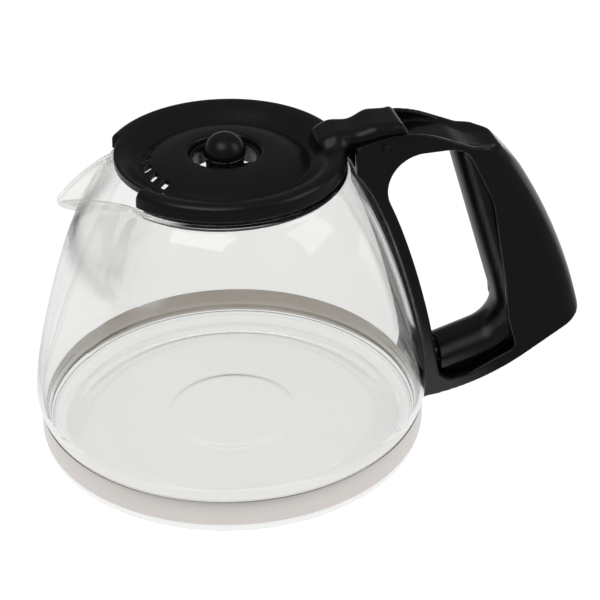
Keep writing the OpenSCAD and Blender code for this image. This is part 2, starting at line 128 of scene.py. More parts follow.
def cubic(p, t):
    """Cubic curve through p0 and p3, drawn towards p1 and p2, at shares t."""
    p, t = np.asarray(p, float), np.asarray(t)[:, None]
    return (1 - t) ** 3 * p[0] + 3 * (1 - t) ** 2 * t * p[1] + 3 * (1 - t) * t ** 2 * p[2] + t ** 3 * p[3]


def sideways(line, d):
    """A line of points moved by d to the right of its travel."""
    way = np.gradient(line, axis=0)
    way /= np.linalg.norm(way, axis=1)[:, None]
    return line + d * np.stack([way[:, 1], -way[:, 0]], -1)


def rounded(rows, n=24):
    """Polygon whose corners [x, z, radius] are each rounded by their own arc."""
    rows = [tuple(map(float, row)) for row in rows]
    out = []
    for i, (x, z, radius) in enumerate(rows):
        b = np.array([x, z])
        if radius <= 0:
            out.append(b[None])
            continue
        u = np.array(rows[i - 1][:2]) - b
        v = np.array(rows[(i + 1) % len(rows)][:2]) - b
        u, v = u / np.linalg.norm(u), v / np.linalg.norm(v)
        half = math.acos(np.clip(u @ v, -1, 1)) / 2
        m = b + (u + v) / np.linalg.norm(u + v) * radius / math.sin(half)
        p, q = b + u * radius / math.tan(half) - m, b + v * radius / math.tan(half) - m
        a0, a1 = math.atan2(p[1], p[0]), math.atan2(q[1], q[0])
        turn = (a1 - a0 + math.pi) % (2 * math.pi) - math.pi
        t = a0 + turn * np.linspace(0, 1, n + 1)
        out.append(m + radius * np.stack([np.cos(t), np.sin(t)], -1))
    return np.concatenate(out)


# Shapes as distances
class Outline:
    """Signed distance to a closed flat outline, below zero inside, kept on a fine table."""

    def __init__(self, points, low, high, step=0.25):
        self.low, self.step = np.array(low, float), step
        n = np.ceil((np.array(high) - self.low) / step).astype(int) + 1
        x = self.low[0] + step * np.arange(n[0])[:, None]
        y = self.low[1] + step * np.arange(n[1])[None, :]
        points = np.asarray(points, float)
        near = np.full((n[0], n[1]), 1e9)
        crossed = np.zeros((n[0], n[1]), bool)
        for a, b in zip(points, np.roll(points, -1, axis=0)):
            e = b - a
            length = e @ e
            if length < 1e-12:
                continue
            px, py = x - a[0], y - a[1]
            t = np.clip((px * e[0] + py * e[1]) / length, 0, 1)
            near = np.minimum(near, (px - t * e[0]) ** 2 + (py - t * e[1]) ** 2)
            if a[1] != b[1]:
                above = (a[1] > y) != (b[1] > y)
                crossed ^= above & (x < a[0] + e[0] * (y - a[1]) / e[1])
        self.table = np.sqrt(near) * np.where(crossed, -1, 1)

    def __call__(self, x, y):
        u = np.clip((x - self.low[0]) / self.step, 0, self.table.shape[0] - 1.001)
        v = np.clip((y - self.low[1]) / self.step, 0, self.table.shape[1] - 1.001)
        i, j = u.astype(int), v.astype(int)
        u, v, t = u - i, v - j, self.table
        return (t[i, j] * (1 - u) * (1 - v) + t[i + 1, j] * u * (1 - v)
                + t[i, j + 1] * (1 - u) * v + t[i + 1, j + 1] * u * v)


def smooth(share):
    """Soft step from 0 to 1."""
    share = np.clip(share, 0, 1)
    return share * share * (3 - 2 * share)


def both(a, b, radius=0.0):
    """What two shapes share, with the edge between them rounded."""
    if np.ndim(radius) == 0 and radius <= 0:
        return np.maximum(a, b)
    corner = np.hypot(np.maximum(a + radius, 0), np.maximum(b + radius, 0))
    return np.minimum(np.maximum(a, b), -radius) + corner


def joined(a, b, radius=0.0):
    """Two shapes as one, with a fillet where they meet."""
    return -both(-a, -b, radius)


def cut(a, b, radius=0.0):
    """Shape a without shape b, with the edge between them rounded."""
    return both(a, -b, radius)


def slab(along, low, high):
    """Layer between two heights along one way."""
    return np.abs(along - (low + high) / 2) - (high - low) / 2


def skin_of(field, low, high, cell):
    """Surface where a distance field is zero, as vertices and quads.

    Each grid cell that the surface passes through has one vertex, the mean of
    the places where its edges are crossed. Vertices are then evened out with
    their neighbours and moved back along the field's slope onto the surface.
    """
    axes = [np.arange(a, b + cell, cell) for a, b in zip(low, high)]
    x, y, z = np.meshgrid(*axes, indexing="ij", sparse=True)
    shape = tuple(len(a) for a in axes)
    value = np.broadcast_to(field(x, y, z), shape).astype(np.float64)
    inside = value < 0
    cells = tuple(n - 1 for n in shape)
    total = np.zeros(cells + (3,))
    count = np.zeros(cells)
    quads = []
    for axis in range(3):
        first = [slice(None)] * 3
        second = [slice(None)] * 3
        first[axis], second[axis] = slice(0, -1), slice(1, None)
        va, vb = value[tuple(first)], value[tuple(second)]
        mixed = inside[tuple(first)] != inside[tuple(second)]
        share = np.where(mixed, va / np.where(mixed, va - vb, 1), 0)
        others = [k for k in range(3) if k != axis]
        for du in (0, 1):
            for dv in (0, 1):
                part = [slice(None)] * 3
                part[others[0]] = slice(du, shape[others[0]] - 1 + du)
                part[others[1]] = slice(dv, shape[others[1]] - 1 + dv)
                m = mixed[tuple(part)]
                count += m
                offset = [0.0, 0.0, 0.0]
                offset[others[0]], offset[others[1]] = du, dv
                for k in range(3):
                    total[..., k] += m * (share[tuple(part)] if k == axis else offset[k])
        ijk = np.argwhere(mixed)
        keep = np.ones(len(ijk), bool)
        for k in others:
            keep &= (ijk[:, k] > 0) & (ijk[:, k] < shape[k] - 1)
        ijk = ijk[keep]
        step_u, step_v = np.zeros(3, int), np.zeros(3, int)
        step_u[others[0]], step_v[others[1]] = 1, 1
        ring = np.stack([ijk - step_u - step_v, ijk - step_v, ijk, ijk - step_u], 1)
        flip = inside[tuple(ijk.T)] ^ (axis == 1)
        ring[~flip] = ring[~flip][:, ::-1]
        quads.append(np.ravel_multi_index(tuple(np.moveaxis(ring, -1, 0)), cells))
    used, faces = np.unique(np.concatenate(quads), return_inverse=True)
    faces = faces.reshape(-1, 4)
    ijk = np.stack(np.unravel_index(used, cells), -1)
    verts = np.array(low) + cell * (ijk + total.reshape(-1, 3)[used] / count.reshape(-1)[used][:, None])

    def pulled(points):
        h = cell * 0.1
        for _ in range(2):
            x, y, z = points.T
            f = field(x, y, z)
            g = np.stack([field(x + h, y, z) - field(x - h, y, z), field(x, y + h, z) - field(x, y - h, z),
                          field(x, y, z + h) - field(x, y, z - h)], -1) / (2 * h)
            move = f[:, None] * g / np.maximum((g ** 2).sum(1), 0.25)[:, None]
            points = points - np.clip(move, -cell / 2, cell / 2)
        return points

    verts = pulled(verts)
    for _ in range(2):
        mean, near = np.zeros_like(verts), np.zeros(len(verts))
        for k in range(4):
            for side in (1, 3):
                np.add.at(mean, faces[:, k], verts[faces[:, (k + side) % 4]])
                np.add.at(near, faces[:, k], 1)
        verts = pulled(verts + 0.5 * (mean / near[:, None] - verts))
    return verts, faces


# Shader nodes
def new_material(name):
    """Material with its nodes, its links and its main shader."""
    material = bpy.data.materials.new(name)
    material.use_nodes = True
    nodes, links = material.node_tree.nodes, material.node_tree.links
    return material, nodes, links, nodes["Principled BSDF"]


def fill_in(sockets, **values):
    """Sets sockets by name, with a low line for each blank in the name."""
    for name, value in values.items():
        sockets[name.replace("_", " ")].default_value = value


def noise_node(nodes, links, place, scale, detail):
    """Noise over a place, as its output from 0 to 1."""
    node = nodes.new("ShaderNodeTexNoise")
    fill_in(node.inputs, Scale=scale, Detail=detail)
    links.new(place, node.inputs["Vector"])
    return node.outputs["Fac"]


def math_node(nodes, links, operation, *values):
    """Math node over numbers or sockets."""
    node = nodes.new("ShaderNodeMath")
    node.operation = operation
    for slot, value in zip(node.inputs, values):
        if hasattr(value, "is_output"):
            links.new(value, slot)
        else:
            slot.default_value = value
    return node.outputs[0]


def span_node(nodes, links, value, from_min, from_max, to_min, to_max, kind="SMOOTHSTEP"):
    """Step of a socket from one range to another, smooth or straight."""
    node = nodes.new("ShaderNodeMapRange")
    node.interpolation_type = kind
    links.new(value, node.inputs["Value"])
    fill_in(node.inputs, From_Min=from_min, From_Max=from_max, To_Min=to_min, To_Max=to_max)
    return node.outputs[0]


def colour_node(nodes, links, factor, a, b):
    """Colour between a and b, each a socket or three numbers, by a factor socket."""
    node = nodes.new("ShaderNodeMix")
    node.data_type = "RGBA"
    links.new(factor, node.inputs["Factor"])
    for slot, value in ((node.inputs[6], a), (node.inputs[7], b)):
        if hasattr(value, "is_output"):
            links.new(value, slot)
        else:
            slot.default_value = (*value, 1)
    return node.outputs[2]


def bump_node(nodes, links, height, strength, distance, shader):
    """Bump of a height socket on a shader's normal."""
    node = nodes.new("ShaderNodeBump")
    fill_in(node.inputs, Strength=strength, Distance=distance)
    links.new(height, node.inputs["Height"])
    links.new(node.outputs["Normal"], shader.inputs["Normal"])


def blend_shaders(nodes, links, factor, a, b):
    """Shader a blended into shader b by a factor socket, as the material's surface."""
    node = nodes.new("ShaderNodeMixShader")
    for slot, value in zip(node.inputs, (factor, a.outputs[0], b.outputs[0])):
        links.new(value, slot)
    links.new(node.outputs[0], nodes["Material Output"].inputs["Surface"])


# Materials
def moulding_group():
    """Group for moulded plastic: cloudy gloss, fine pitting and a few dust specks."""
    tree = bpy.data.node_groups.new("moulding", "ShaderNodeTree")
    for name, kind, way in (
            ("Scale", "NodeSocketFloat", "INPUT"), ("Gloss", "NodeSocketFloat", "INPUT"),
            ("Variation", "NodeSocketFloat", "INPUT"), ("Tint", "NodeSocketColor", "INPUT"),
            ("Color", "NodeSocketColor", "OUTPUT"), ("Roughness", "NodeSocketFloat", "OUTPUT"),
            ("Height", "NodeSocketFloat", "OUTPUT")):
        tree.interface.new_socket(name=name, in_out=way, socket_type=kind)
    nodes, links = tree.nodes, tree.links
    into, out = nodes.new("NodeGroupInput"), nodes.new("NodeGroupOutput")
    place = nodes.new("ShaderNodeTexCoord")
    scaled = nodes.new("ShaderNodeVectorMath")
    scaled.operation = "SCALE"
    links.new(place.outputs["Object"], scaled.inputs[0])
    links.new(into.outputs["Scale"], scaled.inputs["Scale"])
    cloud = noise_node(nodes, links, scaled.outputs[0], 0.05, 4)
    grain = noise_node(nodes, links, scaled.outputs[0], 2.2, 2)
    shift = math_node(nodes, links, "SUBTRACT", cloud, 0.5)
    rough = math_node(nodes, links, "MULTIPLY_ADD", shift, into.outputs["Variation"], into.outputs["Gloss"])
    links.new(rough, out.inputs["Roughness"])
    links.new(grain, out.inputs["Height"])
    specks = nodes.new("ShaderNodeTexVoronoi")
    fill_in(specks.inputs, Scale=0.35)
    links.new(scaled.outputs[0], specks.inputs["Vector"])
    dust = span_node(nodes, links, specks.outputs["Distance"], 0.0, 0.045, 0.5, 0.0, "LINEAR")
    tinted = colour_node(nodes, links, dust, into.outputs["Tint"], (0.05, 0.05, 0.052))
    links.new(tinted, out.inputs["Color"])
    return tree


moulding = moulding_group()


def plastic(name, tint, gloss, variation, pitting):
    """Moulded plastic of one tint and gloss."""
    material, nodes, links, shader = new_material(name)
    group = nodes.new("ShaderNodeGroup")
    group.node_tree = moulding
    fill_in(group.inputs, Scale=1000, Gloss=gloss, Variation=variation, Tint=(*tint, 1))
    links.new(group.outputs["Color"], shader.inputs["Base Color"])
    links.new(group.outputs["Roughness"], shader.inputs["Roughness"])
    bump_node(nodes, links, group.outputs["Height"], pitting, 0.00002, shader)
    fill_in(shader.inputs, IOR=1.46)
    return material


def clear_glass():
    """Blown glass: sharp refraction, faint ripples, and a green cast along its edges.

    Lamps' light passes straight through. The drawn spout is partly plain clear
    glass too, so that its thin walls bend what lies behind them only a little.
    """
    material, nodes, links, shader = new_material("clear_glass")
    shader.inputs["Base Color"].default_value = (0.945, 0.942, 0.935, 1)
    shader.inputs["Transmission Weight"].default_value = 1.0
    shader.inputs["Roughness"].default_value = 0.0
    shader.inputs["IOR"].default_value = 1.47
    place = nodes.new("ShaderNodeTexCoord").outputs["Object"]
    bump_node(nodes, links, noise_node(nodes, links, place, 28, 1), 0.12, 0.0004, shader)
    apart = nodes.new("ShaderNodeSeparateXYZ")
    links.new(place, apart.inputs[0])
    near_rim = span_node(nodes, links, apart.outputs["Z"], 0.076, 0.094, 0.0, 1.0)
    at_spout = span_node(nodes, links, apart.outputs["X"], -0.045, -0.028, 0.84, 0.0)
    drawn_thin = math_node(nodes, links, "MULTIPLY", near_rim, at_spout)
    path = nodes.new("ShaderNodeLightPath")
    clear = nodes.new("ShaderNodeBsdfTransparent")
    fill_in(clear.inputs, Color=(0.93, 0.925, 0.918, 1))
    thin = math_node(nodes, links, "MAXIMUM", path.outputs["Is Shadow Ray"], drawn_thin)
    blend_shaders(nodes, links, thin, shader, clear)
    absorb = nodes.new("ShaderNodeVolumeAbsorption")
    fill_in(absorb.inputs, Color=(0.62, 0.88, 0.72, 1), Density=5)
    links.new(absorb.outputs[0], nodes["Material Output"].inputs["Volume"])
    return material


def brushed_steel(name, colour, roughness):
    """Steel with fine lines drawn along one way of its own map, and painted shade where V is above one half:
    the inner faces take a darker copy of the colour.
    """
    material, nodes, links, shader = new_material(name)
    shader.inputs["Metallic"].default_value = 1.0
    place = nodes.new("ShaderNodeUVMap")
    place.uv_map = "along"
    stretch = nodes.new("ShaderNodeMapping")
    fill_in(stretch.inputs, Scale=(3, 900, 1))
    links.new(place.outputs[0], stretch.inputs["Vector"])
    lines = noise_node(nodes, links, stretch.outputs[0], 1, 4)
    outside = colour_node(nodes, links, lines, [0.86 * c for c in colour], colour)
    split = nodes.new("ShaderNodeSeparateXYZ")
    links.new(place.outputs[0], split.inputs[0])
    # Faces that look inwards get painted shade, a darker copy of the steel's colour
    inner = math_node(nodes, links, "GREATER_THAN", split.outputs["Y"], 0.5)
    painted_shade_colour = [k * c for k, c in zip((0.7, 0.66, 0.61), colour)]
    links.new(colour_node(nodes, links, inner, outside, painted_shade_colour), shader.inputs["Base Color"])
    rough = span_node(nodes, links, lines, 0, 1, roughness - 0.08, roughness + 0.08, "LINEAR")
    links.new(rough, shader.inputs["Roughness"])
    bump_node(nodes, links, lines, 0.2, 0.00003, shader)
    return material


def plated_steel():
    """Zinc plating on the hidden fasteners: grey with cloudy patches."""
    material, nodes, links, shader = new_material("plated_steel")
    shader.inputs["Metallic"].default_value = 1.0
    cloud = noise_node(nodes, links, nodes.new("ShaderNodeTexCoord").outputs["Object"], 400, 5)
    patches = colour_node(nodes, links, cloud, (0.42, 0.42, 0.43), (0.66, 0.66, 0.67))
    links.new(patches, shader.inputs["Base Color"])
    links.new(span_node(nodes, links, cloud, 0, 1, 0.25, 0.45, "LINEAR"), shader.inputs["Roughness"])
    return material


black_gloss = plastic("black_gloss", (0.006, 0.006, 0.0065), 0.16, 0.10, 0.25)
black_satin = plastic("black_satin", (0.008, 0.008, 0.0085), 0.30, 0.12, 0.5)
glass = clear_glass()
band_steel = brushed_steel("band_steel", (0.74, 0.70, 0.67), 0.30)
zinc = plated_steel()

# Jug
neck_bend_r = 3.0
neck_x = mouth_r + 0.36 * neck_bend_r
neck_z = rim_z - glass_wall / 2 - 0.77 * neck_bend_r
side_h, side_w = neck_z - belly_z, belly_r - neck_x
jug_side = np.array([
    [belly_r, belly_z], [belly_r, belly_z + 0.12 * side_h],
    [neck_x + 0.49 * side_w, neck_z - 0.14 * side_h], [neck_x, neck_z]])
neck_turn = math.degrees(math.atan2(*(jug_side[3] - jug_side[2])[::-1]))
neck_way = (jug_side[3] - jug_side[2]) / np.linalg.norm(jug_side[3] - jug_side[2])
neck_centre = jug_side[3] + neck_bend_r * np.array([neck_way[1], -neck_way[0]])


def jug_outside(grow=0.0):
    """Outer outline of the plain jug as [radius, height]: the foot, then the side up to the rim's bead."""
    foot_bead_r, belly_bend_r = 0.48 * band_z, 6 * glass_wall
    foot = np.concatenate([
        arc([band_seat_r + 0.34 * band_z - 1.0 - foot_bead_r + grow, foot_bead_r], foot_bead_r, -90, 50, 16),
        arc([band_seat_r + 0.4 + grow, band_z - 0.3], 0.4, 120, 180, 5),
        [[band_seat_r + grow, band_z + rise] for rise in (0.1, band_h - 0.4, band_h + glass_gap)],
        arc([belly_r - belly_bend_r + grow, belly_z], belly_bend_r, -25, 0, 12)])
    side = np.concatenate([
        sideways(cubic(jug_side, 1 - (1 - np.linspace(0, 1, 100)) ** 1.35), grow)[1:],
        arc(neck_centre, neck_bend_r - grow, neck_turn + 90, 180, 10)[1:],
        [[mouth_r + grow, rim_z - glass_wall / 2]]])
    return foot, side


def spout_lip(turn):
    """Plan outline of the lip as radius over the turn from the spout's middle, in degrees.

    The mouth's circle, then a straight side that meets it at the spout's half
    angle and runs tangent to the tip's circle.
    """
    a = np.radians(spout_half_angle)
    tip_x = spout_reach - spout_tip_r
    run, rise = mouth_r * math.cos(a) - tip_x, mouth_r * math.sin(a)
    lean = math.atan2(-run, rise) + math.asin(spout_tip_r / math.hypot(run, rise))
    phi = np.radians(np.abs(turn))
    side = (tip_x * math.cos(lean) + spout_tip_r) / np.maximum(np.cos(phi - lean), 0.2)
    side = np.where(phi > a + 0.25, 0, side)
    under = spout_tip_r ** 2 - (tip_x * np.sin(phi)) ** 2
    tip = tip_x * np.cos(phi) + np.sqrt(np.maximum(under, 0))
    at_tip = (phi < lean) & (under > 0) & (tip * np.sin(phi) < spout_tip_r * math.sin(lean))
    beak = np.where(at_tip, np.minimum(tip, side), side)
    return 0.5 * (beak + mouth_r + np.sqrt((beak - mouth_r) ** 2 + 0.8))


# Inset of the beak over the depth under the lip
inset_depths = [0, 1.4, 2.8, 3.9, 4.5, 5.6, 7.9, 12, 20]
insets = [0, 0, 0.8, 2.5, 4.5, 6.6, 8.4, 14, 30]
lip_droop, droop_from_z, thin_from_z, beak_from_z = 4.7, 93, 88, 80

# Underside of the glass as [radius, height]: a shallow round step, then the ring that it stands on
step_r = 24.5
under_rows = np.array([
    [0, 1.84], [12, 1.84], [step_r - 3.4, 1.84], [step_r - 2.2, 1.83], [step_r - 1.2, 1.78],
    [step_r - 0.4, 1.66], [step_r + 0.2, 1.57], [step_r + 0.8, 1.5], [step_r + 1.6, 1.47],
    [step_r + 2.6, 1.455], [step_r + 4, 1.45], [step_r + 6, 1.45], [48, 1.45], [50, 1.44], [52, 1.38],
    [54, 1.26], [55.5, 1.08], [57, 0.86], [59, 0.56], [61, 0.28], [62.5, 0.1], [63.5, 0.02], [64.5, 0],
    [68, 0]])


def jug_shell():
    """Closed glass shell: one outline turned round the axis, drawn out into the spout.

    Each outer row near the rim sinks by the droop, which grows with the lip's
    reach. Its radius is the smooth maximum of the plain wall's and of the lip's,
    set in by an amount that grows with the depth under the lip. The inner
    surface lies one wall thickness inside along the outer surface's normals,
    and half a circle between the two makes the rim's bead.
    """
    foot, side = jug_outside(-0.03)
    foot_n = len(foot)
    sheet = np.concatenate([foot, side])
    share = np.linspace(-1, 1, 481)[:-1]
    turn = 180 * np.sign(share) * np.abs(share) ** 1.5
    lip = spout_lip(turn)[None]
    reach = np.clip((lip - mouth_r) / (spout_reach - mouth_r), 0, 1)
    drawn = smooth(reach * 12)
    droop = lip_droop * reach ** 2.2
    r, z = sheet[:, :1], sheet[:, 1:]
    height = z - droop * smooth((z - droop_from_z) / (rim_z - droop_from_z))
    wall = np.interp(height, side[:, 1], side[:, 0])
    out = lip - np.interp(rim_z - droop - height, inset_depths, insets)
    beak = 0.5 * (wall + out + np.sqrt((wall - out) ** 2 + 2.0)) - 0.7 * smooth((mouth_r + 3 - lip) / 3)
    radius = r + (np.where(z > beak_from_z, beak, r) - r) * drawn
    for _ in range(4):
        for line in (radius, height):
            mean = 0.5 * (line[foot_n - 1:-3] + line[foot_n + 1:-1])
            line[foot_n:-2] += 0.5 * drawn * (mean - line[foot_n:-2])
    way = np.radians(turn + 180)[None]
    outer = np.stack([radius * np.cos(way), radius * np.sin(way), height], -1)
    along = np.gradient(outer, axis=0)
    across = np.roll(outer, -1, 1) - np.roll(outer, 1, 1)
    normal = np.cross(across, along)
    normal /= np.linalg.norm(normal, axis=2)[..., None]
    thick = glass_wall * (1 - 0.3 * smooth(reach * 2) * smooth((z - thin_from_z) / 14))[..., None]
    inner = (outer - thick * normal)[foot_n:]
    for _ in range(12):
        inner[1:-3] += 0.5 * drawn[..., None] * (0.5 * (inner[:-4] + inner[2:-2]) - inner[1:-3])
    bead = thick[-1] / 2
    centre = outer[-1] - bead * normal[-1]
    upward = np.array([0, 0, 1.0])
    turns = np.radians(np.linspace(0, 180, 17)[1:-1])[:, None, None]
    rim = centre + bead * (np.cos(turns) * normal[-1] + np.sin(turns) * upward)

    floor_bend_r, wall_r = 1.8 * glass_wall, band_seat_r - glass_wall
    floor_rows = np.concatenate([
        arc([wall_r - floor_bend_r, glass_floor + floor_bend_r], floor_bend_r, 0, -90, 16),
        [[row_r, glass_floor] for row_r in (56, 44, 30, 12, 0)]])

    def turned(rows):
        flat = np.stack([np.cos(way[0]), np.sin(way[0])], -1)
        heights = np.broadcast_to(rows[:, None, 1:], (len(rows), len(turn), 1))
        return np.concatenate([rows[:, None, :1] * flat, heights], -1)

    verts = np.concatenate([turned(under_rows), outer, rim, inner[::-1], turned(floor_rows)])
    rows, cols = verts.shape[:2]
    return verts.reshape(-1, 3), grid_faces(rows, cols, close_cols=True)


jug = piece_from("jug_glass", *jug_shell(), "jug", "glass_jug", "clear_glass")
close_up(jug)
jug.data.materials.append(glass)


# Base band
def band_ring():
    """Thin ring with softened edges, its closed section turned round the axis."""
    soft, inner_r = 0.15, band_r - band_t + 0.05
    low, high = band_z, band_z + band_h
    corners = ((band_r - soft, low + soft), (band_r - soft, high - soft),
               (inner_r + soft, high - soft), (inner_r + soft, low + soft))
    section = np.concatenate([arc(corner, soft, 90 * k - 90, 90 * k, 4) for k, corner in enumerate(corners)])
    way = np.radians(np.linspace(0, 360, 289)[:-1])[None]
    r, z = section[:, :1], section[:, 1:]
    verts = np.stack([r * np.cos(way), r * np.sin(way), z + 0 * way], -1)
    return verts.reshape(-1, 3), grid_faces(len(section), way.shape[1], True, True)


def map_along(piece):
    """Map of a ring: U once round the axis, V up it, with 1 added to V on faces that look inwards, where the
    steel is painted in shade.
    """
    along = piece.data.uv_layers.new(name="along")
    corner_verts = np.empty(len(piece.data.loops), int)
    piece.data.loops.foreach_get("vertex_index", corner_verts)
    co = np.empty(len(piece.data.vertices) * 3)
    piece.data.vertices.foreach_get("co", co)
    co = co.reshape(-1, 3)[corner_verts]
    face_r = np.hypot(*co[:, :2].reshape(-1, 4, 2).mean(1).T).repeat(4)
    inner_side = face_r < (band_r - band_t / 2) * MM
    u = np.arctan2(co[:, 1], -co[:, 0]) / (2 * np.pi) + 0.5
    along.data.foreach_set("uv", np.stack([u, co[:, 2] / (band_h * MM) * 0.02 + inner_side], -1).ravel())


band = piece_from("base_band", *band_ring(), "jug", "steel_band", "band_steel")
close_up(band)
map_along(band)
band.data.materials.append(band_steel)


# Handle: its outlines, as the source draws them
def at(row):
    """Place of a row [share out, share up, rounding], on the line that leans from foot to hinge."""
    a, b, bend = row
    return (foot_x + (hinge_x - foot_x) * b + a * grip_reach, b * hinge_z, bend * edge_r)


cheek_rows = [(-0.173, 1.01, 0.12), (0.154, 1.054, 5.1), (0.506, 0.958, 1), (0.66, 0.947, 0.62),
              (0.899, 0.768, 0), (0.987, 0.614, 0), (1.058, 0.274, 0.5), (0.374, 0.046, 11),
              (-0.195, 0.017, 0), (-0.191, 0.915, 0)]
opening_rows = [(-0.106, 0.964, 1.69), (0.45, 0.964, 1.3), (0.572, 0.75, 4), (0.59, 0.45, 3),
                (0.583, 0.29, 0.5), (0.612, 0.173, 0.3), (0.309, 0.096, 2.2), (0.179, 0.085, 0.38),
                (0.128, 0.113, 0.25)]
hollow_rows = [(0.127, 0.528, 0), (0.368, 0.951, 0.5), (0.919, 0.849, 0), (1.45, 0.528, 0),
               (1.01, 0.276, 0.38), (0.38, 0.07, 5.6), (0.127, 0.076, 0.19)]
fork_rows = [(-0.42, 0.9, 0), (0.1, 0.985, 0), (0.25, 0.989, 1), (0.4, 0.974, 2.5), (0.557, 0.937, 1.4),
             (0.614, 0.933, 0.45), (0.71, 0.986, 0), (0.548, 1.19, 0), (-0.36, 1.19, 0)]
crest_rows = [(0.42, 0.8935, 0), (0.57, 0.264, 0), (0.154, 0.196, 0)]
back_top, back_low = np.array(at((0.69, 0.95, 0))[:2]), np.array(at((1.062, 0.25, 0))[:2])
chord = back_low - back_top
chord_l = np.linalg.norm(chord)
chord_side = np.array([chord[1], -chord[0]]) / chord_l
back_centre = (back_top + back_low) / 2 + chord_side * math.sqrt(back_r ** 2 - chord_l ** 2 / 4)

side_low, side_high = (38, -6), (146, 128)
spine_line = sideways(cubic(jug_side, np.linspace(0.2, 0.74, 40)), glass_gap + spine_t)
cheek_side = Outline(rounded([at(row) for row in cheek_rows]), side_low, side_high)
opening_line = rounded([(*spine_line[-1], 0)] + [at(row) for row in opening_rows])
opening_side = Outline(np.concatenate([spine_line, opening_line]), side_low, side_high)
hollow_side = Outline(rounded([at(row) for row in hollow_rows]), side_low, side_high)
fork_side = Outline(rounded([at(row) for row in fork_rows]), side_low, side_high)
jug_line = np.concatenate([[[-5, 0], [foot_r, 0]], *jug_outside(), [[-5, rim_z - 1]]])
jug_section = Outline(jug_line, (30, -6), (150, 128))
nut_side = 3.4 * 1.75
nut_x, nut_z = foot_x + 0.32 * nut_side, band_z + 0.85 * band_h
seat_d = 0.6 * grip_reach
tilt = math.radians(tube_tilt)
pocket_half_w, pocket_end = nut_side / 2 + 1.3, band_r + 0.9 * nut_side


def back_shape(x, y, z, inset=0.0):
    """The curved back: a bar with rounded edges, bent round the back's centre."""
    bend = back_edge_r - inset
    out = np.hypot(x - back_centre[0], z - back_centre[1]) - (back_r - inset - bend)
    across = np.abs(y) - (half_w - inset - bend)
    return np.hypot(np.maximum(out, 0), np.maximum(across, 0)) + np.minimum(np.maximum(out, across), 0) - bend


def along_screw(x, y, z):
    """Distance along the screw from the nut, and from its axis."""
    along = (x - nut_x) * math.cos(tilt) + (z - nut_z) * math.sin(tilt)
    return along, np.hypot(y, (z - nut_z) * math.cos(tilt) - (x - nut_x) * math.sin(tilt))


def shell_shape(x, y, z):
    """Handle shell: side outline and curved back, less opening, hollow, fork, bores and jug.

    The cheeks' upper edge and the fork are rounder towards the back, where the thumb rests.
    """
    wide = np.abs(y)
    soft_top = 0.4 + 6.6 * smooth((x - thumb_x) / 8) * smooth((z - thumb_z) / 8)
    shape = both(cheek_side(x, z), wide - half_w, soft_top)
    shape = both(shape, back_shape(x, y, z), 0.7)
    shape = cut(shape, opening_side(x, z), 0.6)
    hollow = both(both(hollow_side(x, z), wide - inner_half_w), back_shape(x, y, z, cheek_t))
    shape = cut(shape, hollow, 0.4)
    along, off = along_screw(x, y, z)
    tube = both(off - tube_r - 0.8, slab(along, nut_side, seat_d), 0.8)
    shape = joined(shape, tube, 1.2)
    from_pin = np.hypot(x - hinge_x, z - hinge_z)
    dip = smooth((x - dip_x) / dip_l)
    fork = both(joined(fork_side(x, z), from_pin - (drum_r + 0.35)), wide - inner_half_w, 1.2 + 4.5 * dip)
    shape = cut(shape, fork, 0.6 + 1.8 * dip)
    shape = cut(shape, both(from_pin - (pin_r + 0.03), wide - half_w - 5), 0.25)
    from_axis = np.hypot(x, y)
    shape = cut(shape, jug_section(from_axis, z) - glass_gap, 0.5)
    shape = cut(shape, both(from_axis - (band_r + glass_gap), z - (band_z + band_h + glass_gap)), 0.3)
    pocket = both(both(x - pocket_end, wide - pocket_half_w), np.abs(z - nut_z) - 0.625 * nut_side - 0.15)
    shape = cut(shape, pocket, 0.3)
    shape = cut(shape, both(off - screw_way_r, along - seat_d - 1), 0.2)
    return cut(shape, both(off - washer_r - 0.15, seat_d - along), 0.4)


shell_skin = skin_of(shell_shape, (42, -13.4, 0), (143, 13.4, 121), 0.65)
shell = piece_from("handle", *shell_skin, "jug", "handle_shell", "black_plastic")
shell.data.materials.append(black_gloss)

# Handle liner
liner_half_w, liner_t = inner_half_w - 0.15, 0.36 * liner_bulge
crown_r = (liner_half_w ** 2 + liner_bulge ** 2) / (2 * liner_bulge)
(top_x, top_z), (bend_x, bend_z), (toe_x, toe_z) = (at(row)[:2] for row in crest_rows)
crest_side = Outline(rounded([(top_x - 8, top_z + 23.5, 0), (bend_x, bend_z, 2 * liner_bulge),
                              (toe_x - 20, toe_z - 5.7, 0), (60, -40, 0), (190, -40, 0), (190, 160, 0)], 40),
                     side_low, side_high)


def liner_shape(x, y, z):
    """Rounded channel under the crest: a crown across its width, hollow from behind."""
    depth, wide = -crest_side(x, z), np.abs(y)
    crown = np.hypot(depth - crown_r, y)
    bar = both(both(crown - crown_r, wide - liner_half_w, 0.6), depth - liner_bulge - liner_t - 2.5, 0.4)
    bar = cut(bar, both(crown - crown_r + liner_t, wide - liner_half_w + liner_t), 0.3)
    rise_x, rise_z = top_x - bend_x, top_z - bend_z
    up = ((x - top_x) * rise_x + (z - top_z) * rise_z) / math.hypot(rise_x, rise_z)
    bar = both(bar, up - 6, 0.6)
    bar = both(bar, toe_x + 0.8 - x, 0.6)
    along, off = along_screw(x, y, z)
    return cut(bar, off - tube_r - 1.0)


liner_skin = skin_of(liner_shape, (78, -11, 12), (114, 11, 106), 0.6)
liner = piece_from("grip_liner", *liner_skin, "jug", "handle_liner", "black_plastic")
liner.data.materials.append(black_satin)

# Lid
lip_r = 0.8 * lid_wall
dome_edge_r, crest_r = lid_hole_r + lip_r, lid_r - 0.5 * lid_wall - 2
dish_z = lid_top - dish_depth
skirt_r = mouth_r - glass_wall - 1.2
collar_h = 1.7 * dome_h
notch_r = lid_r - 0.52 * lid_edge_h - lid_wall / 2


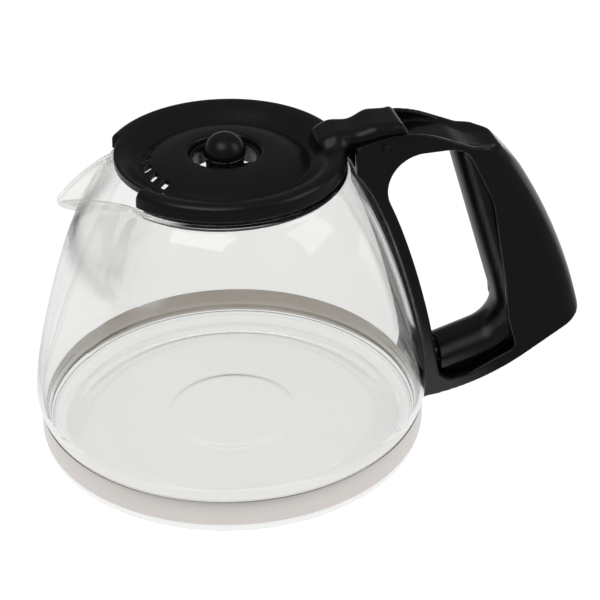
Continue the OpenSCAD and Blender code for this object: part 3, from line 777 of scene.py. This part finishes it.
def lid_section():
    """Half section of the round lid: hole, dome, valley, dish, raised edge, skirt and collar."""
    r = np.linspace(dome_edge_r, valley_r, 40)[1:-2]
    dome = np.stack([r, dish_z + dome_h * (1 - ((r - dome_edge_r) / (valley_r - dome_edge_r)) ** 2.3)], -1)
    r = np.linspace(valley_r, crest_r, 40)[1:-1]
    rise = np.sin(np.pi / 2 * (r - valley_r) / (crest_r - valley_r)) ** 1.35
    dish = np.stack([r, dish_z + dish_depth * rise], -1)
    face = np.concatenate([arc([dome_edge_r, dish_z + dome_h - lip_r], lip_r, 180, 90), dome, dish])
    walled = (face[:, 0] > dome_edge_r + 1) & (face[:, 0] < skirt_r - 1.6 * lid_wall)
    below = face[walled][::-1] - [0, lid_wall]
    skirt_inner_r = skirt_r - 0.9 * lid_wall
    return np.concatenate([
        face, arc([crest_r, lid_top - 2.9], 2.9, 90, 12),
        [[lid_r, lid_z + 0.3 * lid_edge_h], [lid_r, lid_z + 0.4], [lid_r - 0.4, lid_z],
         [lid_r - lid_wall, lid_z], [skirt_r, lid_z], [skirt_r, lid_z - skirt_h],
         [skirt_inner_r, lid_z - skirt_h], [skirt_inner_r, lid_z + 0.1 * lid_edge_h]],
        below,
        [[dome_edge_r, dish_z + dome_h - 1.5 * lid_wall], [dome_edge_r, dish_z + dome_h - collar_h],
         [lid_hole_r, dish_z + dome_h - collar_h]]])


ring_section = Outline(lid_section(), (5, 98), (50, 126), 0.12)
tongue_front = 0.725 * lid_r
span = hinge_x - tongue_front
lever_rows = [(0, -1.25, 0), (0, 0.275, 0.25), (0.33, 1.02, 0.82), (0.62, 0.9, 1.2), (0.88, 1.48, 1),
              (1.29, 1.3, 0.33)]
plan_rows = [(0, 0.83, 0.5), (0.27, 0.91, 1), (0.567, 0.82, 0.93), (0.845, 1, 0.93), (1.45, 1, 0.35)]
lever_side = Outline(rounded(
    [(tongue_front + a * span, lid_top + b * 4, c * drum_r) for a, b, c in lever_rows]
    + [(px, pz, 0) for px, pz in arc([hinge_x, hinge_z], drum_r, 30, -155, 60)]
    + [(hinge_x - drum_r, lid_z, 0)]),
    (26, 98), (72, 128), 0.15)
near_rows = [(tongue_front + a * span, b * drum_half_w, c * drum_r) for a, b, c in plan_rows]
far_rows = [(px, -py, bend) for px, py, bend in near_rows[::-1]]
lever_plan = Outline(rounded(near_rows + far_rows), (26, -14), (72, 14), 0.15)


def lid_shape(x, y, z):
    """Lid: the round section and the lever joined by a fillet, less notch, slots and bore.

    The notch takes away the edge and the skirt over the spout, and thins the dish above it.
    """
    r = np.hypot(x, y)
    shape = ring_section(r, z)
    lever = both(lever_side(x, z), lever_plan(x, y), 1.0 + 3.2 * smooth((lever_soft_x - x) / 7))
    shape = joined(shape, lever, 2.6)
    a = math.radians(spout_half_angle + 1.5)
    beside = np.abs(y) * math.cos(a) + x * math.sin(a)
    shape = cut(shape, both(beside, notch_r - r, 0.8), 0.5)
    shape = cut(shape, both(both(beside, skirt_r - 3 * lid_wall - r), z - lid_z), 0.3)
    shape = cut(shape, both(both(beside, skirt_r - 1.5 * lid_wall + 0.4 - r), z - lid_top + 3.2), 0.3)
    for i in range(slot_count):
        way = math.radians(180 + (i - (slot_count - 1) / 2) * slot_step)
        out = x * math.cos(way) + y * math.sin(way) - (valley_r - slot_radial)
        side = -x * math.sin(way) + y * math.cos(way)
        slot = both(np.abs(out) - slot_radial / 2, np.abs(side) - slot_width / 2, 0.4)
        shape = cut(shape, both(slot, np.abs(z - dish_z) - 4), 0.2)
    return cut(shape, np.hypot(x - hinge_x, z - hinge_z) - pin_r - 0.05, 0.2)


lid_skin = skin_of(lid_shape, (-45, -45, 103), (68, 45, 124), 0.62)
lid = piece_from("hinged_lid", *lid_skin, "lid", "lid", "black_plastic")
lid.data.materials.append(black_satin)

# Knob
head_z = lid_z + knob_rise
ring_low = dish_z + dome_h - collar_h
stem_r = 0.9 * knob_r
knob_wall = 1.2
knob_ring_r = lid_hole_r - 0.05


def knob_shape(x, y, z):
    """Knob: a half ball on a hollow stem, four spokes and the flanged ring that sits in the collar."""
    r = np.hypot(x, y)
    ball = np.sqrt(r ** 2 + (z - head_z) ** 2) - knob_r
    ball = both(ball, head_z - 0.1 * knob_r - z, 0.4)
    head = joined(ball, both(r - stem_r, slab(z, ring_low, head_z), 0.4), 0.4)
    head = cut(head, both(r - stem_r + knob_wall, z - head_z + knob_wall))
    ring_in = knob_ring_r - knob_wall
    ring = both(slab(r, ring_in, knob_ring_r), slab(z, ring_low, ring_low + 0.75 * collar_h), 0.2)
    flange = both(slab(r, ring_in, dome_edge_r), slab(z, ring_low - knob_wall, ring_low), 0.2)
    spokes = both(np.minimum(np.abs(x), np.abs(y)) - spoke_w / 2, slab(z, ring_low, ring_low + spoke_w), 0.3)
    spokes = both(spokes, np.maximum(r - knob_ring_r + 0.3, stem_r - 0.6 - r))
    return joined(joined(joined(ring, flange), spokes, 0.4), head, 0.4)


knob_skin = skin_of(knob_shape, (-15.5, -15.5, 101), (15.5, 15.5, 123.5), 0.36)
knob = piece_from("brew_knob_cap", *knob_skin, "lid", "brew_knob", "black_plastic")
knob.data.materials.append(black_satin)


# Hinge pin
def pin_shape():
    """Pin with a ring groove in each softened end, its outline turned round its axis."""
    soft, end = 0.25, half_w - 0.02
    half = np.concatenate([
        [[0, end - 0.25], [0.75, end - 0.25]], arc([0.95, end - 0.2], 0.2, 180, 90, 3),
        [[1.25, end], [1.3, end - 0.5], [1.5, end - 0.5], [1.55, end]],
        arc([pin_r - soft, end - soft], soft, 90, 0, 5)])
    line = np.concatenate([half, (half * [1, -1])[::-1]])
    way = np.radians(np.linspace(0, 360, 49)[:-1])[None]
    verts = np.stack([hinge_x + line[:, :1] * np.cos(way), line[:, 1:] + 0 * way,
                      hinge_z + line[:, :1] * np.sin(way)], -1)
    return verts.reshape(-1, 3), grid_faces(len(line), way.shape[1], True)


pin = piece_from("hinge_pin_body", *pin_shape(), "jug", "hinge_pin", "pin_plastic")
close_up(pin)
pin.data.materials.append(black_satin)

# Clamp parts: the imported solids, in zinc
for name in ("band_bracket", "clamp_nut", "clamp_screw", "screw_washer"):
    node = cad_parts[name]
    node.data.materials.clear()
    node.data.materials.append(zinc)


# Camera, as solved from the photograph
def aimed(position, yaw, pitch, roll):
    """Camera matrix from its place and its heading from +Y towards +X, dip and roll in degrees."""
    yaw, pitch, roll = (math.radians(v) for v in (yaw, pitch, roll))
    ahead = Vector((math.sin(yaw) * math.cos(pitch), math.cos(yaw) * math.cos(pitch), -math.sin(pitch)))
    level = Vector((math.cos(yaw), -math.sin(yaw), 0))
    rise = level.cross(ahead)
    right = level * math.cos(roll) + rise * math.sin(roll)
    up = rise * math.cos(roll) - level * math.sin(roll)
    matrix = Matrix((right, up, -ahead)).transposed().to_4x4()
    matrix.translation = Vector(position)
    return matrix


camera = bpy.data.objects.new("camera", bpy.data.cameras.new("camera"))
camera.data.sensor_width = 36
camera.data.lens = 115.12
camera.matrix_world = aimed((-0.1271, -0.5979, 0.4266), 14.471, 31.518, -0.589)
scene.collection.objects.link(camera)
scene.camera = camera


# Floor, lamps and world
def light_table():
    """Floor like a light table, with the soft shadow of what stands on it.

    It is pure white to the eye and a little greyer through glass. Reflections
    see it bright close to the jug and behind it only.
    """
    material, nodes, links, shader = new_material("floor_white")
    shader.inputs["Base Color"].default_value = (0.8, 0.8, 0.8, 1)
    shader.inputs["Roughness"].default_value = 0.9
    shader.inputs["Specular IOR Level"].default_value = 0.0
    path = nodes.new("ShaderNodeLightPath").outputs
    place = nodes.new("ShaderNodeTexCoord").outputs["Object"]
    apart = nodes.new("ShaderNodeSeparateXYZ")
    links.new(place, apart.inputs[0])
    length = nodes.new("ShaderNodeVectorMath")
    length.operation = "LENGTH"
    links.new(place, length.inputs[0])
    near_jug = span_node(nodes, links, length.outputs["Value"], 0.085, 0.125, 1.1, 0.0)
    behind = span_node(nodes, links, apart.outputs["Y"], -0.02, 0.12, 0.19, 1.0)
    mirrored = math_node(nodes, links, "MAXIMUM", near_jug, behind)
    through = math_node(nodes, links, "MINIMUM", path["Transmission Depth"], 1.0)
    direct = math_node(nodes, links, "SUBTRACT", 1.0, through)
    reflected = math_node(nodes, links, "MULTIPLY", path["Is Glossy Ray"], direct)
    shine = math_node(nodes, links, "MULTIPLY", reflected, mirrored)
    shine = math_node(nodes, links, "MULTIPLY_ADD", through, 0.97, shine)
    shine = math_node(nodes, links, "MULTIPLY_ADD", path["Is Camera Ray"], 1.2, shine)
    glow = nodes.new("ShaderNodeEmission")
    fill_in(glow.inputs, Color=(1, 1, 1, 1))
    links.new(shine, glow.inputs["Strength"])
    seen = math_node(nodes, links, "MAXIMUM", path["Is Camera Ray"], path["Is Glossy Ray"])
    share = math_node(nodes, links, "MULTIPLY", seen, 0.85)
    blend_shaders(nodes, links, share, shader, glow)
    return material


floor_mesh = bpy.data.meshes.new("floor")
floor_mesh.from_pydata([(-6, -6, 0), (6, -6, 0), (6, 6, 0), (-6, 6, 0)], [], [(0, 1, 2, 3)])
floor = bpy.data.objects.new("floor", floor_mesh)
scene.collection.objects.link(floor)
floor.data.materials.append(light_table())


def soft_lamp(name, place, target, size, power):
    """Rectangular area lamp aimed at a point."""
    lamp = bpy.data.objects.new(name, bpy.data.lights.new(name, "AREA"))
    lamp.data.shape = "RECTANGLE"
    lamp.data.size, lamp.data.size_y = size
    lamp.data.energy = power
    lamp.location = place
    lamp.rotation_euler = (Vector(target) - Vector(place)).to_track_quat("-Z", "Y").to_euler()
    scene.collection.objects.link(lamp)
    return lamp


soft_lamp("key", (-0.45, -0.5, 1.1), (0, 0, 0.06), (0.85, 0.6), 2.6)
soft_lamp("fill", (0.9, -0.4, 0.7), (0.05, 0, 0.06), (0.6, 0.6), 1.2)
soft_lamp("back", (0.25, 1.1, 1.5), (0, 0, 0.08), (0.9, 0.5), 2.0).visible_glossy = False


def studio_world():
    """Dim grey room, darkest a third of the way up, and a light grey one through glass."""
    world = bpy.data.worlds.new("studio")
    world.use_nodes = True
    nodes, links = world.node_tree.nodes, world.node_tree.links
    split = nodes.new("ShaderNodeSeparateXYZ")
    links.new(nodes.new("ShaderNodeTexCoord").outputs["Generated"], split.inputs[0])
    ramp = nodes.new("ShaderNodeValToRGB")
    greys = ramp.color_ramp.elements
    greys[0].position, greys[1].position = 0.0, 1.0
    greys[0].color, greys[1].color = (0.25, 0.25, 0.25, 1), (0.2, 0.2, 0.2, 1)
    greys.new(0.3).color = (0.1, 0.1, 0.1, 1)
    links.new(split.outputs["Z"], ramp.inputs[0])
    depth = nodes.new("ShaderNodeLightPath").outputs["Transmission Depth"]
    through = math_node(nodes, links, "MINIMUM", depth, 1.0)
    grey = colour_node(nodes, links, through, ramp.outputs[0], (0.8, 0.8, 0.8))
    links.new(grey, nodes["Background"].inputs["Color"])
    nodes["Background"].inputs["Strength"].default_value = 1.0
    return world


scene.world = studio_world()
scene.view_settings.view_transform = "Standard"
